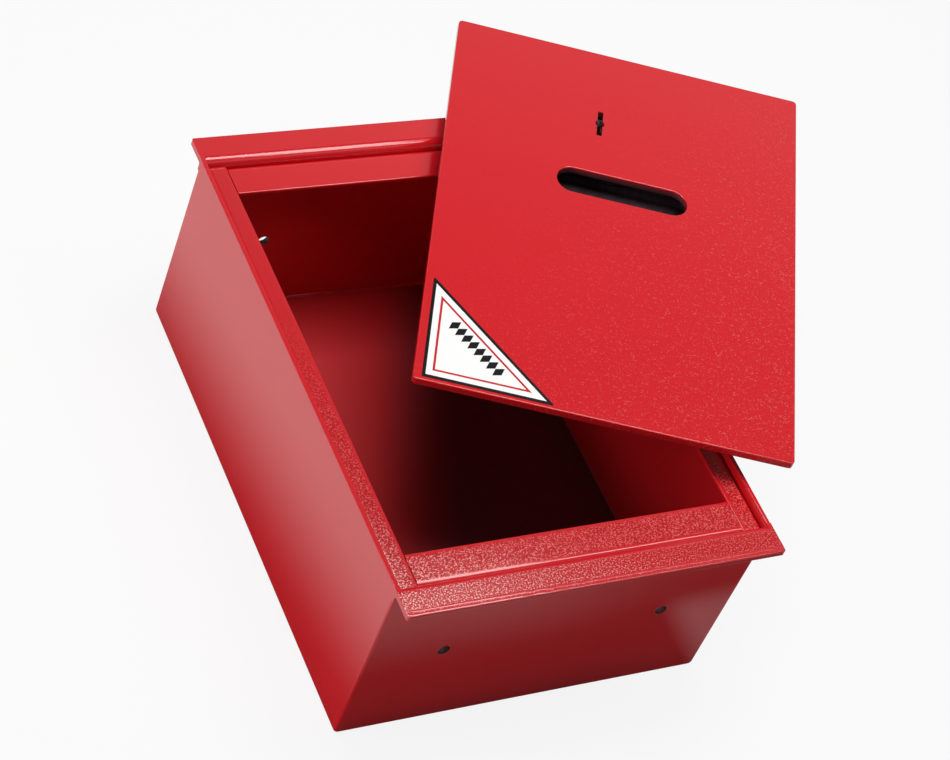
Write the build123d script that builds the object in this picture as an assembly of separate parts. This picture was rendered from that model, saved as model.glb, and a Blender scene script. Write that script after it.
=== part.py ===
from build123d import *
import math
import os

# A floor safe that drops between two joists: a welded steel box with a flange at each end,
# a recessed ledge all round its mouth, and a loose steel lid that carries the lock.
# Millimetres. Origin at the centre of the box's underside, +X to the right, +Y to the rear, +Z up.

# Box
body_width = 254.0
body_length = 340.0
body_height = 145.0
side_sheet = 3.0
end_plate = 4.0
flange_reach = 18.0
flange_bend_inside = 1.5
floor_bend_inside = 0.5
ground_weld_radius = 2.0
sheet_edge_radius = 0.8
flange_corner_radius = 2.0

# Fixing holes in the two ends, for screws into the joists
fixing_hole_diameter = 8.0
front_hole_spacing = 150.0
front_hole_height = 73.5
rear_hole_spacing = 131.0
rear_hole_height = 64.5

# Ledge that the lid drops onto, four folded angles
ledge_sheet = 3.0
ledge_bend_inside = 1.0
ledge_leg = 14.0
side_ledge_width = 14.0
end_ledge_width = 23.5
ledge_joint_gap = 0.2

# Lid plate
lid_thickness = 5.0
lid_side_clearance = 4.3
lid_end_clearance = 2.5
lid_seat_gap = 0.3
lid_corner_radius = 3.0
lid_edge_radius = 0.8

# Where the loose lid lies: turned and leaning across the right-hand wall of the box
lid_turn = -27.7
lid_lean = 2.9
lid_centre_x = 119.1
lid_centre_y = 59.4
lid_rest_gap = 0.3

# Finger slot and the closed pocket behind it
slot_length = 88.0
slot_width = 22.0
slot_centre_x = 1.1
slot_from_lock_edge = 127.3
pocket_length = 104.0
pocket_width = 40.0
pocket_depth = 14.5
pocket_sheet = 1.5
pocket_corner_radius = 10.0
pocket_floor_radius = 4.0

# Keyhole for a key with a bit on both sides
key_centre_x = -17.2
key_from_lock_edge = 69.1
keyhole_height = 22.7
keyhole_slot_width = 3.6
keyhole_round_diameter = 6.2
keyway_allowance = 0.4

# Lock case under the lid, from the key's centre
hardplate_thickness = 2.0
hardplate_margin = 1.5
case_half_width = 24.0
case_behind_key = 36.0
case_ahead_of_key = 45.0
case_depth = 10.0
case_wall = 1.5
cover_thickness = 1.5
pillar_radius = 3.5
pillar_overlap = 0.5
screw_diameter = 3.0
screw_head_diameter = 5.6
screw_slot_width = 0.8
screw_slot_depth = 0.7
screw_length = 8.0
screw_hole_length = 8.6

# Barrel that the key turns
barrel_diameter = 12.6
barrel_front_gap = 0.4
barrel_fit = 0.08
barrel_spigot_diameter = 5.0
barrel_floor = 0.8

# Bolt and its tail
bolt_throw = 12.0
bolt_width = 28.0
bolt_tip_ahead_of_key = 46.0
bolt_head_length = 29.0
bolt_nose_radius = 1.5
tail_width = 26.0
tail_thickness = 2.0
tail_behind_key = 33.0
sliding_gap = 0.3
stump_size = 3.0
stump_behind_key = 29.0

# Levers: each lifts by its own amount before the stump can pass its gate
lever_lifts = [3.0, 2.4, 2.8, 2.2, 2.6, 2.0]
lever_thickness = 0.8
lever_gap = 0.15
lever_width = 31.5
lever_side_bar = 5.0
lever_tab_width = 22.0
lever_window_height = 23.0
gate_neck = 1.5
gate_gap = 0.2
lever_spring_thickness = 0.6
lever_spring_stand_off = 3.3
lever_spring_root = 2.0
lever_spring_bend = 9.0
guide_thickness = 2.0

# Fixed tongue at the other end of the lid
tongue_width = 60.0
tongue_sheet = 3.0
tongue_weld_length = 18.0
tongue_under_ledge = 10.5
tongue_gap = 0.6

# Corner label
label_leg = 82.5
label_thickness = 0.25
label_from_side = 5.2
label_from_end = 2.8
label_corner_radius = 0.6

# Worked out from the sizes above
half_width = body_width / 2
half_length = body_length / 2
end_inner_y = half_length - end_plate
side_inner_x = half_width - side_sheet
flange_bend_outside = end_plate + flange_bend_inside
floor_bend_outside = side_sheet + floor_bend_inside
ledge_top = body_height - lid_thickness - lid_seat_gap
lid_width = 2 * (side_inner_x - lid_side_clearance)
lid_length = 2 * (end_inner_y - lid_end_clearance)
slot_centre_y = lid_length / 2 - slot_from_lock_edge
key_centre_y = lid_length / 2 - key_from_lock_edge
case_top = -hardplate_thickness
case_floor = case_top - case_depth
cover_bottom = case_floor - cover_thickness
tail_top = case_top - case_wall - sliding_gap
tail_bottom = tail_top - tail_thickness
bolt_bottom = case_floor + sliding_gap * 2
first_lever_top = tail_bottom - sliding_gap
lever_pitch = lever_thickness + lever_gap
case_left = key_centre_x - case_half_width
case_right = key_centre_x + case_half_width
case_rear = key_centre_y - case_behind_key
case_front = key_centre_y + case_ahead_of_key
guide_front = key_centre_y + bolt_tip_ahead_of_key - bolt_head_length - sliding_gap
guide_rear = guide_front - guide_thickness


def box_between(x0, x1, y0, y1, z0, z1):
    centre = Pos((x0 + x1) / 2, (y0 + y1) / 2, (z0 + z1) / 2)
    return centre * Box(x1 - x0, y1 - y0, z1 - z0)


def rectangle_between(x0, x1, y0, y1):
    return Pos((x0 + x1) / 2, (y0 + y1) / 2) * Rectangle(x1 - x0, y1 - y0)


def near(shape, *points):
    """The corners of a flat outline that lie nearest to the given points."""
    return [shape.vertices().sort_by_distance(Vector(*point))[0] for point in points]


def lid_underside_height():
    """Height of the lid's underside at its centre, with the pocket resting on the side wall."""
    slope = math.tan(math.radians(lid_lean))
    drop = pocket_depth / math.cos(math.radians(lid_lean))
    return body_height + lid_rest_gap + drop - slope * (side_inner_x - lid_centre_x)


def on_lid(piece):
    """Carry a piece from the lid's own frame, underside at zero, to where the lid lies."""
    place = Pos(lid_centre_x, lid_centre_y, lid_underside_height())
    return place * Rot(0, -lid_lean, 0) * Rot(0, 0, lid_turn) * piece


def body_shell():
    """Both long walls and the floor, folded from one sheet, full height at the sides."""
    outside = rectangle_between(-half_width, half_width, 0, body_height)
    outside = fillet(near(outside, (-half_width, 0), (half_width, 0)), floor_bend_outside)
    inside = rectangle_between(-side_inner_x, side_inner_x, side_sheet, body_height + side_sheet)
    inside = fillet(near(inside, (-side_inner_x, side_sheet), (side_inner_x, side_sheet)), floor_bend_inside)
    section = outside - inside
    rims = [(x, body_height) for x in (-half_width, -side_inner_x, side_inner_x, half_width)]
    section = fillet(near(section, *rims), sheet_edge_radius)
    shell = extrude(Plane.XZ * section, end_inner_y, both=True)
    return shell + wall_horns()


def wall_horns():
    """The four rim ends that fill the outside of the flange bends, welded and ground flush."""
    radius = flange_bend_outside
    fill = rectangle_between(end_inner_y, end_inner_y + radius, body_height - radius, body_height)
    fill -= Pos(end_inner_y + radius, body_height - radius) * Circle(radius)
    horn = extrude(Plane.YZ * fill, side_sheet)
    horns = []
    for wall_x in (-half_width, side_inner_x):
        horn_here = Pos(wall_x, 0, 0) * horn
        horns += [horn_here, mirror(horn_here, Plane.XZ)]
    return horns


def end_panel(hole_spacing, hole_height):
    """The rear end of the box: an upright plate whose top is folded outward into the flange."""
    bend_start = body_height - flange_bend_outside
    upright = rectangle_between(-half_width, half_width, 0, bend_start)
    upright = fillet(near(upright, (-half_width, 0), (half_width, 0)), floor_bend_outside)
    plate = Pos(0, half_length, 0) * extrude(Plane.XZ * upright, end_plate)
    outer_face = plate.faces().sort_by(Axis.Y)[-1]
    plate = fillet(outer_face.edges().sort_by(Axis.Z)[:-1], ground_weld_radius)
    tip_y = half_length + flange_reach
    under = body_height - end_plate
    root = bend_start - end_plate
    outline = Polyline(
        (end_inner_y, root), (end_inner_y, body_height), (tip_y, body_height),
        (tip_y, under), (half_length, under), (half_length, root), close=True)
    bend = make_face(outline)
    bend = fillet(near(bend, (end_inner_y, body_height)), flange_bend_outside)
    bend = fillet(near(bend, (half_length, under)), flange_bend_inside)
    bend = fillet(near(bend, (tip_y, body_height), (tip_y, under)), sheet_edge_radius)
    flange = extrude(Plane.YZ * bend, half_width, both=True)
    plan = rectangle_between(-half_width, half_width, 0, tip_y)
    plan = fillet(near(plan, (-half_width, tip_y), (half_width, tip_y)), flange_corner_radius)
    flange &= extrude(plan, body_height)
    panel = plate + flange
    hole = Rot(90, 0, 0) * Cylinder(fixing_hole_diameter / 2, 2 * end_plate)
    for side in (-1, 1):
        panel -= Pos(side * hole_spacing / 2, half_length - end_plate / 2, hole_height) * hole
    return panel


def ledge_section(width):
    """Section of a ledge angle: the top leg runs to the right, the other hangs at the left."""
    corner = (0, 0)
    outline = Polyline(
        corner, (width, 0), (width, -ledge_sheet), (ledge_sheet, -ledge_sheet),
        (ledge_sheet, -ledge_leg), (0, -ledge_leg), close=True)
    section = make_face(outline)
    section = fillet(near(section, (ledge_sheet, -ledge_sheet)), ledge_bend_inside)
    section = fillet(near(section, corner), ledge_sheet + ledge_bend_inside)
    return fillet(near(section, (width, 0), (width, -ledge_sheet)), sheet_edge_radius)


def side_ledge():
    """Left ledge angle, welded inside the long wall from end to end."""
    section = ledge_section(side_ledge_width)
    strip = extrude(Plane.XZ * section, end_inner_y, both=True)
    return Pos(-side_inner_x, 0, ledge_top) * strip


def end_ledge():
    """Front ledge angle, fitted between the side ledges."""
    section = ledge_section(end_ledge_width)
    reach = side_inner_x - side_ledge_width - ledge_joint_gap
    strip = extrude(Plane.YZ * section, reach, both=True)
    return Pos(0, -end_inner_y, ledge_top) * strip


def keyhole_outline(allowance, round_diameter):
    """Keyhole for a double-bitted key: an upright slot through a round hole."""
    slot = Rectangle(keyhole_slot_width + allowance, keyhole_height + allowance)
    return Pos(key_centre_x, key_centre_y) * (slot + Circle(round_diameter / 2))


def lid_plate():
    """Flat steel lid with the finger slot and the keyhole, its upper edges eased."""
    plate = extrude(RectangleRounded(lid_width, lid_length, lid_corner_radius), lid_thickness)
    slot = Pos(slot_centre_x, slot_centre_y) * SlotOverall(slot_length, slot_width)
    plate -= extrude(slot, lid_thickness)
    upper = plate.faces().sort_by(Axis.Z)[-1]
    plate = fillet(upper.edges(), lid_edge_radius)
    return plate - extrude(keyhole_outline(0, keyhole_round_diameter), lid_thickness)


def finger_pocket():
    """Pressed pocket welded behind the slot, wider than it so that fingers can hook the lid."""
    outer = extrude(RectangleRounded(pocket_length, pocket_width, pocket_corner_radius), -pocket_depth)
    outer = fillet(outer.faces().sort_by(Axis.Z)[0].edges(), pocket_floor_radius)
    inner_outline = RectangleRounded(
        pocket_length - 2 * pocket_sheet,
        pocket_width - 2 * pocket_sheet,
        pocket_corner_radius - pocket_sheet)
    inner = extrude(inner_outline, pocket_sheet - pocket_depth)
    inner = chamfer(inner.faces().sort_by(Axis.Z)[0].edges(), pocket_floor_radius - pocket_sheet)
    return Pos(slot_centre_x, slot_centre_y, 0) * (outer - inner)


def lid_tongue():
    """Joggled tongue at the end away from the lock, which hooks under the front ledge."""
    ledge_edge = end_inner_y - end_ledge_width
    drop = lid_seat_gap + ledge_sheet + tongue_gap
    tip = ledge_edge + tongue_under_ledge
    step = ledge_edge - tongue_sheet
    start = step - tongue_weld_length
    outline = Polyline(
        (-start, 0), (-step, 0), (-step - tongue_sheet, -drop), (-tip, -drop),
        (-tip, -drop - tongue_sheet), (-step, -drop - tongue_sheet),
        (-step + tongue_sheet, -tongue_sheet), (-start, -tongue_sheet), close=True)
    section = make_face(outline)
    section = fillet(near(section, (-tip, -drop), (-tip, -drop - tongue_sheet)), sheet_edge_radius)
    return extrude(Plane.YZ * section, tongue_width / 2, both=True)


def screw_places():
    """Centres of the four cover screws, one in each corner pillar of the case."""
    inset = case_wall + pillar_radius - pillar_overlap
    return [
        (x, y)
        for x in (case_left + inset, case_right - inset)
        for y in (case_rear + inset, case_front - inset)]


def hardplate():
    """Hardened plate between the lid and the lock, pierced for the barrel and the key."""
    outline = rectangle_between(
        case_left - hardplate_margin, case_right + hardplate_margin,
        case_rear - hardplate_margin, case_front)
    outline -= keyhole_outline(keyway_allowance, barrel_diameter + 2 * sliding_gap)
    return extrude(outline, -hardplate_thickness)


def lock_case():
    """Case of the lock: a base with the keyway, four walls, corner pillars and the bolt's mouth."""
    case = box_between(case_left, case_right, case_rear, case_front, case_floor, case_top)
    base_bottom = case_top - case_wall
    case -= box_between(
        case_left + case_wall, case_right - case_wall,
        case_rear + case_wall, case_front - case_wall, case_floor, base_bottom)
    case += [
        Pos(x, y, (case_floor + base_bottom) / 2) * Cylinder(pillar_radius, base_bottom - case_floor)
        for x, y in screw_places()]
    mouth_half = bolt_width / 2 + sliding_gap
    case -= box_between(
        key_centre_x - mouth_half, key_centre_x + mouth_half, case_front - case_wall, case_front,
        bolt_bottom - sliding_gap, tail_top + sliding_gap)
    keyway = keyhole_outline(keyway_allowance, barrel_diameter + 2 * barrel_fit)
    case -= Pos(0, 0, base_bottom) * extrude(keyway, case_wall)
    for x, y in screw_places():
        case -= Pos(x, y, case_floor + screw_hole_length / 2) * Cylinder(screw_diameter / 2, screw_hole_length)
    return case


def lock_cover():
    """Flat cover that closes the case from below, countersunk for its screws."""
    cover = box_between(case_left, case_right, case_rear, case_front, cover_bottom, case_floor)
    spigot_radius = barrel_spigot_diameter / 2 + barrel_fit
    middle = (cover_bottom + case_floor) / 2
    cover -= Pos(key_centre_x, key_centre_y, middle) * Cylinder(spigot_radius, cover_thickness)
    for x, y in screw_places():
        cover -= Pos(x, y, middle) * Cone(screw_head_diameter / 2, screw_diameter / 2, cover_thickness)
    return cover


def lock_screws():
    """Four countersunk screws through the cover into the case's pillars."""
    screws = []
    for x, y in screw_places():
        head = Pos(x, y, (cover_bottom + case_floor) / 2)
        head *= Cone(screw_head_diameter / 2, screw_diameter / 2, cover_thickness)
        shank = Pos(x, y, case_floor + screw_length / 2) * Cylinder(screw_diameter / 2, screw_length)
        drive = Pos(x, y, cover_bottom + screw_slot_depth / 2)
        drive *= Box(screw_head_diameter, screw_slot_width, screw_slot_depth)
        screws.append(head + shank - drive)
    return Compound(children=screws)


def lever_guide():
    """Bar across the case that keeps the ends of the levers in line, clear of the bolt's tail."""
    return box_between(
        case_left + case_wall, case_right - case_wall, guide_rear, guide_front,
        case_floor, tail_bottom - sliding_gap)


def key_barrel():
    """Brass barrel with a slot for the key, running in the case's base and the cover."""
    top = -barrel_front_gap
    bottom = case_floor + sliding_gap
    drum = Pos(0, 0, (top + bottom) / 2) * Cylinder(barrel_diameter / 2, top - bottom)
    slot_floor = bottom + barrel_floor
    drum -= box_between(
        -keyhole_slot_width / 2, keyhole_slot_width / 2,
        -barrel_diameter, barrel_diameter, slot_floor, top)
    spigot = Pos(0, 0, (bottom + cover_bottom) / 2)
    spigot *= Cylinder(barrel_spigot_diameter / 2, bottom - cover_bottom)
    return Pos(key_centre_x, key_centre_y, 0) * (drum + spigot)


def lock_bolt():
    """Bolt head, thin tail that straddles the barrel, and the stump that the levers guard."""
    nose = bolt_tip_ahead_of_key
    head = box_between(
        -bolt_width / 2, bolt_width / 2, nose - bolt_head_length, nose, bolt_bottom, tail_top)
    nose_edges = head.faces().sort_by(Axis.Y)[-1].edges().filter_by(Axis.X)
    head = fillet(nose_edges, bolt_nose_radius)
    tail = box_between(
        -tail_width / 2, tail_width / 2, -tail_behind_key, nose - bolt_head_length,
        tail_bottom, tail_top)
    window_half = barrel_diameter / 2 + 2 * sliding_gap
    tail -= box_between(
        -window_half, window_half, -window_half - bolt_throw, window_half, tail_bottom, tail_top)
    stump = box_between(
        -stump_size / 2, stump_size / 2, -stump_behind_key - stump_size / 2,
        -stump_behind_key + stump_size / 2, case_floor + sliding_gap, tail_bottom)
    return Pos(key_centre_x, key_centre_y, 0) * (head + tail + stump)


def lever_gate(lift):
    """Two pockets joined by a neck that lines up with the stump once the lever has lifted."""
    half = stump_size / 2
    start = -stump_behind_key - half - 2 * sliding_gap
    end = -stump_behind_key + bolt_throw + half + 2 * sliding_gap
    middle = (start + end) / 2
    pockets = rectangle_between(-half - lift - gate_gap, half + gate_gap, start, end)
    bar = rectangle_between(-half - lift - gate_gap, half + gate_gap,
                            middle - gate_neck / 2, middle + gate_neck / 2)
    reach = (bolt_throw - stump_size - gate_neck) / 2 / bolt_throw
    neck = rectangle_between(-half - lift * (1 - reach) - gate_gap, half - lift * reach + gate_gap,
                             middle - gate_neck / 2, middle + gate_neck / 2)
    return pockets - bar + neck


def lever(number):
    """One brass lever: a plate round the barrel, with its gate and its own leaf spring."""
    lift = lever_lifts[number]
    half = lever_width / 2
    plate_rear = -stump_behind_key + stump_size + 2 * sliding_gap
    plate_front = guide_rear - key_centre_y - sliding_gap
    tab_rear = case_rear + case_wall + sliding_gap - key_centre_y
    plate = rectangle_between(-half, half, plate_rear, plate_front)
    plate += rectangle_between(-lever_tab_width / 2, lever_tab_width / 2, tab_rear, plate_rear)
    window = Rectangle(2 * (half - lever_side_bar), lever_window_height)
    spring_x = half + lever_spring_stand_off
    spring = Polyline(
        (half - lever_spring_thickness, plate_front - lever_spring_root),
        (spring_x, plate_front - lever_spring_bend),
        (spring_x, plate_rear + lever_spring_bend))
    outline = plate - window - lever_gate(lift) + trace(spring, lever_spring_thickness)
    top = first_lever_top - number * lever_pitch
    return Pos(key_centre_x, key_centre_y, top) * extrude(outline, -lever_thickness)


def corner_label():
    """Thin right-angled label in the corner of the lid, square to its edges."""
    x = -lid_width / 2 + label_from_side
    y = -lid_length / 2 + label_from_end
    outline = make_face(Polyline((x, y), (x + label_leg, y), (x, y + label_leg), close=True))
    outline = fillet(outline.vertices(), label_corner_radius)
    return Pos(0, 0, lid_thickness) * extrude(outline, label_thickness)


def build_parts():
    """Every piece under its own name."""
    rear = end_panel(rear_hole_spacing, rear_hole_height)
    front = end_panel(front_hole_spacing, front_hole_height)
    left = side_ledge()
    front_ledge = end_ledge()
    parts = {
        "body_shell": body_shell(),
        "rear_end_panel": rear,
        "front_end_panel": mirror(front, Plane.XZ),
        "ledge_left": left,
        "ledge_right": mirror(left, Plane.YZ),
        "ledge_front": front_ledge,
        "ledge_rear": mirror(front_ledge, Plane.XZ),
    }
    lid_pieces = {
        "lid_plate": lid_plate(),
        "finger_pocket": finger_pocket(),
        "lid_tongue": lid_tongue(),
        "hardplate": hardplate(),
        "lock_case": lock_case(),
        "lock_cover": lock_cover(),
        "lock_screws": lock_screws(),
        "lever_guide": lever_guide(),
        "key_barrel": key_barrel(),
        "lock_bolt": lock_bolt(),
        "corner_label": corner_label(),
    }
    for number in range(len(lever_lifts)):
        lid_pieces[f"lever_{number + 1}"] = lever(number)
    for name, piece in lid_pieces.items():
        parts[name] = on_lid(piece)
    return parts


os.makedirs("parts", exist_ok=True)
for name, part in build_parts().items():
    export_step(part, f"parts/{name}.step")
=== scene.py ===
import bmesh
import bpy
import math
import numpy as np
from mathutils import Matrix, Vector


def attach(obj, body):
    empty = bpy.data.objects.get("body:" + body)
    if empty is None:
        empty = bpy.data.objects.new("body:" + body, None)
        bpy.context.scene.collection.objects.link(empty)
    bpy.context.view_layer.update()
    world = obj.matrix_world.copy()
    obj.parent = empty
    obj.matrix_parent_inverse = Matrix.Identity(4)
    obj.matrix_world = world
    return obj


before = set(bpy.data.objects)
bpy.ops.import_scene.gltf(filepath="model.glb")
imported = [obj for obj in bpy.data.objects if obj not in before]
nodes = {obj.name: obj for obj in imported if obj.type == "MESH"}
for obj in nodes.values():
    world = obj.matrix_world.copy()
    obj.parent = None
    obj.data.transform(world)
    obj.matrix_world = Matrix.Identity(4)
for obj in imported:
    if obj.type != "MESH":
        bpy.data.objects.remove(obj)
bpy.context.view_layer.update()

scene = bpy.context.scene
scene.view_settings.view_transform = "Standard"

# Sizes of the box in mm that several pieces share
box = {
    "halfWidth": 127.0,
    "sideInner": 124.0,
    "endInner": 166.0,
    "endOuter": 170.0,
    "flangeTip": 188.0,
    "floorTop": 3.0,
    "rim": 145.0,
    "ledgeFoot": 125.7,
    "sideLedgeInner": 110.0,
    "sideLedgeWidth": 12.5,
    "endLedgeInner": 142.5,
    "endLedgeWidth": 19.5,
}

# Fixing holes in mm: at which end in y, how far apart and how high
fixingHoles = {
    "front": {"end": -1, "spacing": 150.0, "height": 73.5},
    "rear": {"end": 1, "spacing": 131.0, "height": 64.5},
}

# Where the loose lid lies: its own axes and the middle of its underside in metres, then places
# on it in mm across and along from there
lid = {
    "across": (0.88426, -0.464842, 0.044795),
    "along": (0.464247, 0.885394, 0.023518),
    "up": (-0.050593, 0.0, 0.998719),
    "middle": (0.1191, 0.0594, 0.15957),
    "slotCentre": (1.1, 36.2),
    "keyAxis": (-17.2, 94.4),
}

# The camera was solved from the box's corners in the photograph
camera = {
    "axis": (2.406167045, -0.355060109, 0.534249571),
    "shiftMm": (-37.361814605, 68.037460900, 1773.177933838),
    "focalPixels": 2714.0873317,
    "framePixels": 950.0,
    "sensorMm": 36.0,
    "clipMetres": (0.05, 60.0),
}


# Place = -(turn transposed) x shift; the turn takes the row frame to x right, y down, z ahead
def makeCamera():
    axis = Vector(camera["axis"])
    back = Matrix.Rotation(axis.length, 3, axis.normalized()).transposed()
    place = -(back @ Vector(camera["shiftMm"])) / 1000
    flip = Matrix(((1, 0, 0), (0, -1, 0), (0, 0, -1)))
    data = bpy.data.cameras.new("camera")
    data.sensor_fit = "HORIZONTAL"
    data.sensor_width = camera["sensorMm"]
    data.lens = camera["focalPixels"] * camera["sensorMm"] / camera["framePixels"]
    data.clip_start, data.clip_end = camera["clipMetres"]
    obj = bpy.data.objects.new("camera", data)
    obj.matrix_world = Matrix.Translation(place) @ (back @ flip).to_4x4()
    scene.collection.objects.link(obj)
    scene.camera = obj
    print("camera at", [round(c, 4) for c in place])


makeCamera()


# sRGB hex code to the linear colour that shaders take
def linearColour(code):
    parts = [int(code[i:i + 2], 16) / 255 for i in (1, 3, 5)]
    return [p / 12.92 if p <= 0.04045 else ((p + 0.055) / 1.055) ** 2.4 for p in parts] + [1.0]


# Adds a node; an input is a value, a socket, or another node, which gives its first live output.
# Its key is the input's name or number, or a row of numbers for a row of values
def addNode(tree, kind, inputs=None, **settings):
    node = tree.nodes.new("ShaderNode" + kind)
    for name, value in settings.items():
        setattr(node, name, value)
    for key, given in (inputs or {}).items():
        for place, value in zip(key, given) if isinstance(key, tuple) else [(key, given)]:
            if isinstance(value, bpy.types.Node):
                value = next(out for out in value.outputs if out.enabled)
            if isinstance(value, bpy.types.NodeSocket):
                tree.links.new(value, node.inputs[place])
            else:
                node.inputs[place].default_value = value
    return node


# A MapRange node's four numbers: as its value goes from the first to the second, its result goes
# from the third to the fourth
fromTo = (1, 2, 3, 4)


# A material's empty tree and the place on the object that its patterns read
def newMaterial(name):
    material = bpy.data.materials.new(name)
    material.use_nodes = True
    tree = material.node_tree
    tree.nodes.clear()
    return material, tree, addNode(tree, "TexCoord").outputs["Object"]


# Gives CAD nodes their material
def dress(material, *names):
    for name in names:
        slots = nodes[name].data.materials
        slots.clear()
        slots.append(material)
    print("dressed", len(names), "nodes in", material.name)


# A place in the lid's own axes, in mm from the middle of its underside
def lidAxes(tree, place):
    own = addNode(tree, "VectorMath", {0: place, 1: lid["middle"]}, operation="SUBTRACT")
    lengths = []
    for name in ("across", "along", "up"):
        part = addNode(tree, "VectorMath", {0: own, 1: lid[name]}, operation="DOT_PRODUCT")
        lengths.append(addNode(tree, "Math", {0: part, 1: 1000.0}, operation="MULTIPLY"))
    return lengths


# How far a point is from a short line or a dot: the length of max(|part - centre| - half, 0)
def awayFrom(tree, parts, centre, half=(0.0, 0.0)):
    past = []
    for part, middle, reach in zip(parts, centre, half):
        off = addNode(tree, "Math", {0: part, 1: middle}, operation="SUBTRACT")
        off = addNode(tree, "Math", {0: off}, operation="ABSOLUTE")
        off = addNode(tree, "Math", {0: off, 1: reach}, operation="SUBTRACT")
        past.append(addNode(tree, "Math", {0: off, 1: 0.0}, operation="MAXIMUM"))
    flat = addNode(tree, "CombineXYZ", {(0, 1): past})
    return addNode(tree, "VectorMath", {0: flat}, operation="LENGTH")


# Polyester powder coat, sprayed and baked on sheet steel: a saturated glossy red that lies
# smooth on walls and bends and wrinkles into fine grains on the flat tops, whose pale tops are
# painted glints
redCoat = {
    "deep": "#AE1016",
    "body": "#D21A23",
    # the colour of the painted glints on the grain tops
    "paintedGlint": "#FAC2BE",
    # the painted shade colour: the box's inner floor and bores, the lid's openings and underside
    "paintedShade": "#4A363C",
    "ior": 1.6,
    "roughness": 0.07,
    "grainRoughness": 0.02,
    "bareRoughness": 0.60,
    "cloudRoughness": 0.06,
    "cloudMm": 70.0,
    "grainMm": 1.0,  # the real grain is finer; this is as fine as the render still shows
    "grainDepthMm": 0.09,
    "valley": (0.43, 0.52, 0.9, 0.0),  # from the grain's height to how deep its red is
    "peak": (0.545, 0.63, 0.0, 1.0),  # from the grain's height to how strong its painted glint is
    "beadGrain": 0.06,
}


# grainShare gives how strong the grain is and how strong the painted glints on its tops are, 0 to
# 1;
# shadeShare gives where shade is painted into the colour, and where the steel is left rough
def redCoatMaterial(name, grainShare, shadeShare):
    material, tree, place = newMaterial(name)
    share, paintedGlintShare = grainShare(tree, place)
    paintedShade, bare = shadeShare(tree, place)
    grain = addNode(tree, "TexNoise", {
        "Vector": place, "Scale": 1000 / redCoat["grainMm"], "Detail": 1.0})
    cloud = addNode(tree, "TexNoise", {
        "Vector": place, "Scale": 1000 / redCoat["cloudMm"], "Detail": 2.0})
    valley = addNode(tree, "MapRange", {"Value": grain, fromTo: redCoat["valley"]})
    peak = addNode(tree, "MapRange", {"Value": grain, fromTo: redCoat["peak"]})
    low = addNode(tree, "Math", {0: valley, 1: share}, operation="MULTIPLY")
    # painted glints on the grain tops
    high = addNode(tree, "Math", {0: peak, 1: paintedGlintShare}, operation="MULTIPLY")
    colour = linearColour(redCoat["body"])
    for amount, tone in ((low, "deep"), (high, "paintedGlint"), (paintedShade, "paintedShade")):
        colour = addNode(tree, "Mix", {
            "Factor": amount, 6: colour, 7: linearColour(redCoat[tone])}, data_type="RGBA")
    rough = redCoat["roughness"]
    for amount, cause in ((share, "grain"), (bare, "bare"), (cloud, "cloud")):
        rough = addNode(tree, "Math", {
            0: amount, 1: redCoat[cause + "Roughness"], 2: rough}, operation="MULTIPLY_ADD")
    height = addNode(tree, "Math", {0: grain, 1: share}, operation="MULTIPLY")
    bump = addNode(tree, "Bump", {
        "Height": height, "Strength": 1.0, "Distance": redCoat["grainDepthMm"] / 1000})
    shader = addNode(tree, "BsdfPrincipled", {
        "Base Color": colour, "Roughness": rough, "Normal": bump, "IOR": redCoat["ior"]})
    addNode(tree, "OutputMaterial", {"Surface": shader})
    return material


# Grain on the flat tops, in metres: it grows along y from the rear to the front, and its painted
# glints are strongest at the near left corner, where y + 0.35 x is lowest, as a painted sheen
flatTops = {
    "forward": (0.09, -0.155, 0.02, 1.0),
    "nearLeft": (0.35, 1.0, 0.0),
    "paintedGlint": (-0.155, -0.225, 0.20, 1.0),
}


def forwardShares(tree, place, share):
    y = addNode(tree, "SeparateXYZ", {0: place}).outputs[1]
    forward = addNode(tree, "MapRange", {
        "Value": y, fromTo: flatTops["forward"]}, interpolation_type="SMOOTHSTEP")
    share = addNode(tree, "Math", {0: share, 1: forward}, operation="MULTIPLY")
    nearLeft = addNode(tree, "VectorMath", {
        0: place, 1: flatTops["nearLeft"]}, operation="DOT_PRODUCT")
    paintedGlint = addNode(tree, "MapRange", {"Value": nearLeft, fromTo: flatTops["paintedGlint"]})
    return share, addNode(tree, "Math", {0: share, 1: paintedGlint}, operation="MULTIPLY")


# The coat on the box, in metres: grain on the flanges' tops, past their bends; painted shade in
# the fixing holes' bores, and painted shade on the matt inner floor past the slanting line x =
# 0.35 y
boxCoat = {
    "top": (0.1446, 0.1449, 0.0, 1.0),  # by height
    "pastBend": (0.1698, 0.1714, 0.0, 1.0),  # by the distance from the middle along y
    "bore": (0.00405, 0.0042, 0.97, 0.0),  # by the distance from the hole's axis
    "floorHalf": (0.1245, 0.1664),  # how far out the inner floor reaches in x and y
    "floorBand": 0.0006,  # how near its height counts as the floor
    "floorSlant": -0.35,
    "floorShade": (-0.034, 0.036, 0.0, 0.93),
    "floorMatt": 0.62,
}


def boxGrain(tree, place):
    parts = addNode(tree, "SeparateXYZ", {0: place})
    top = addNode(tree, "MapRange", {"Value": parts.outputs[2], fromTo: boxCoat["top"]})
    out = addNode(tree, "Math", {0: parts.outputs[1]}, operation="ABSOLUTE")
    flat = addNode(tree, "MapRange", {"Value": out, fromTo: boxCoat["pastBend"]})
    share = addNode(tree, "Math", {0: top, 1: flat}, operation="MULTIPLY")
    return forwardShares(tree, place, share)


# Painted shade on the box: the inner floor past the slanting line and the bores of the fixing
# holes
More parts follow.
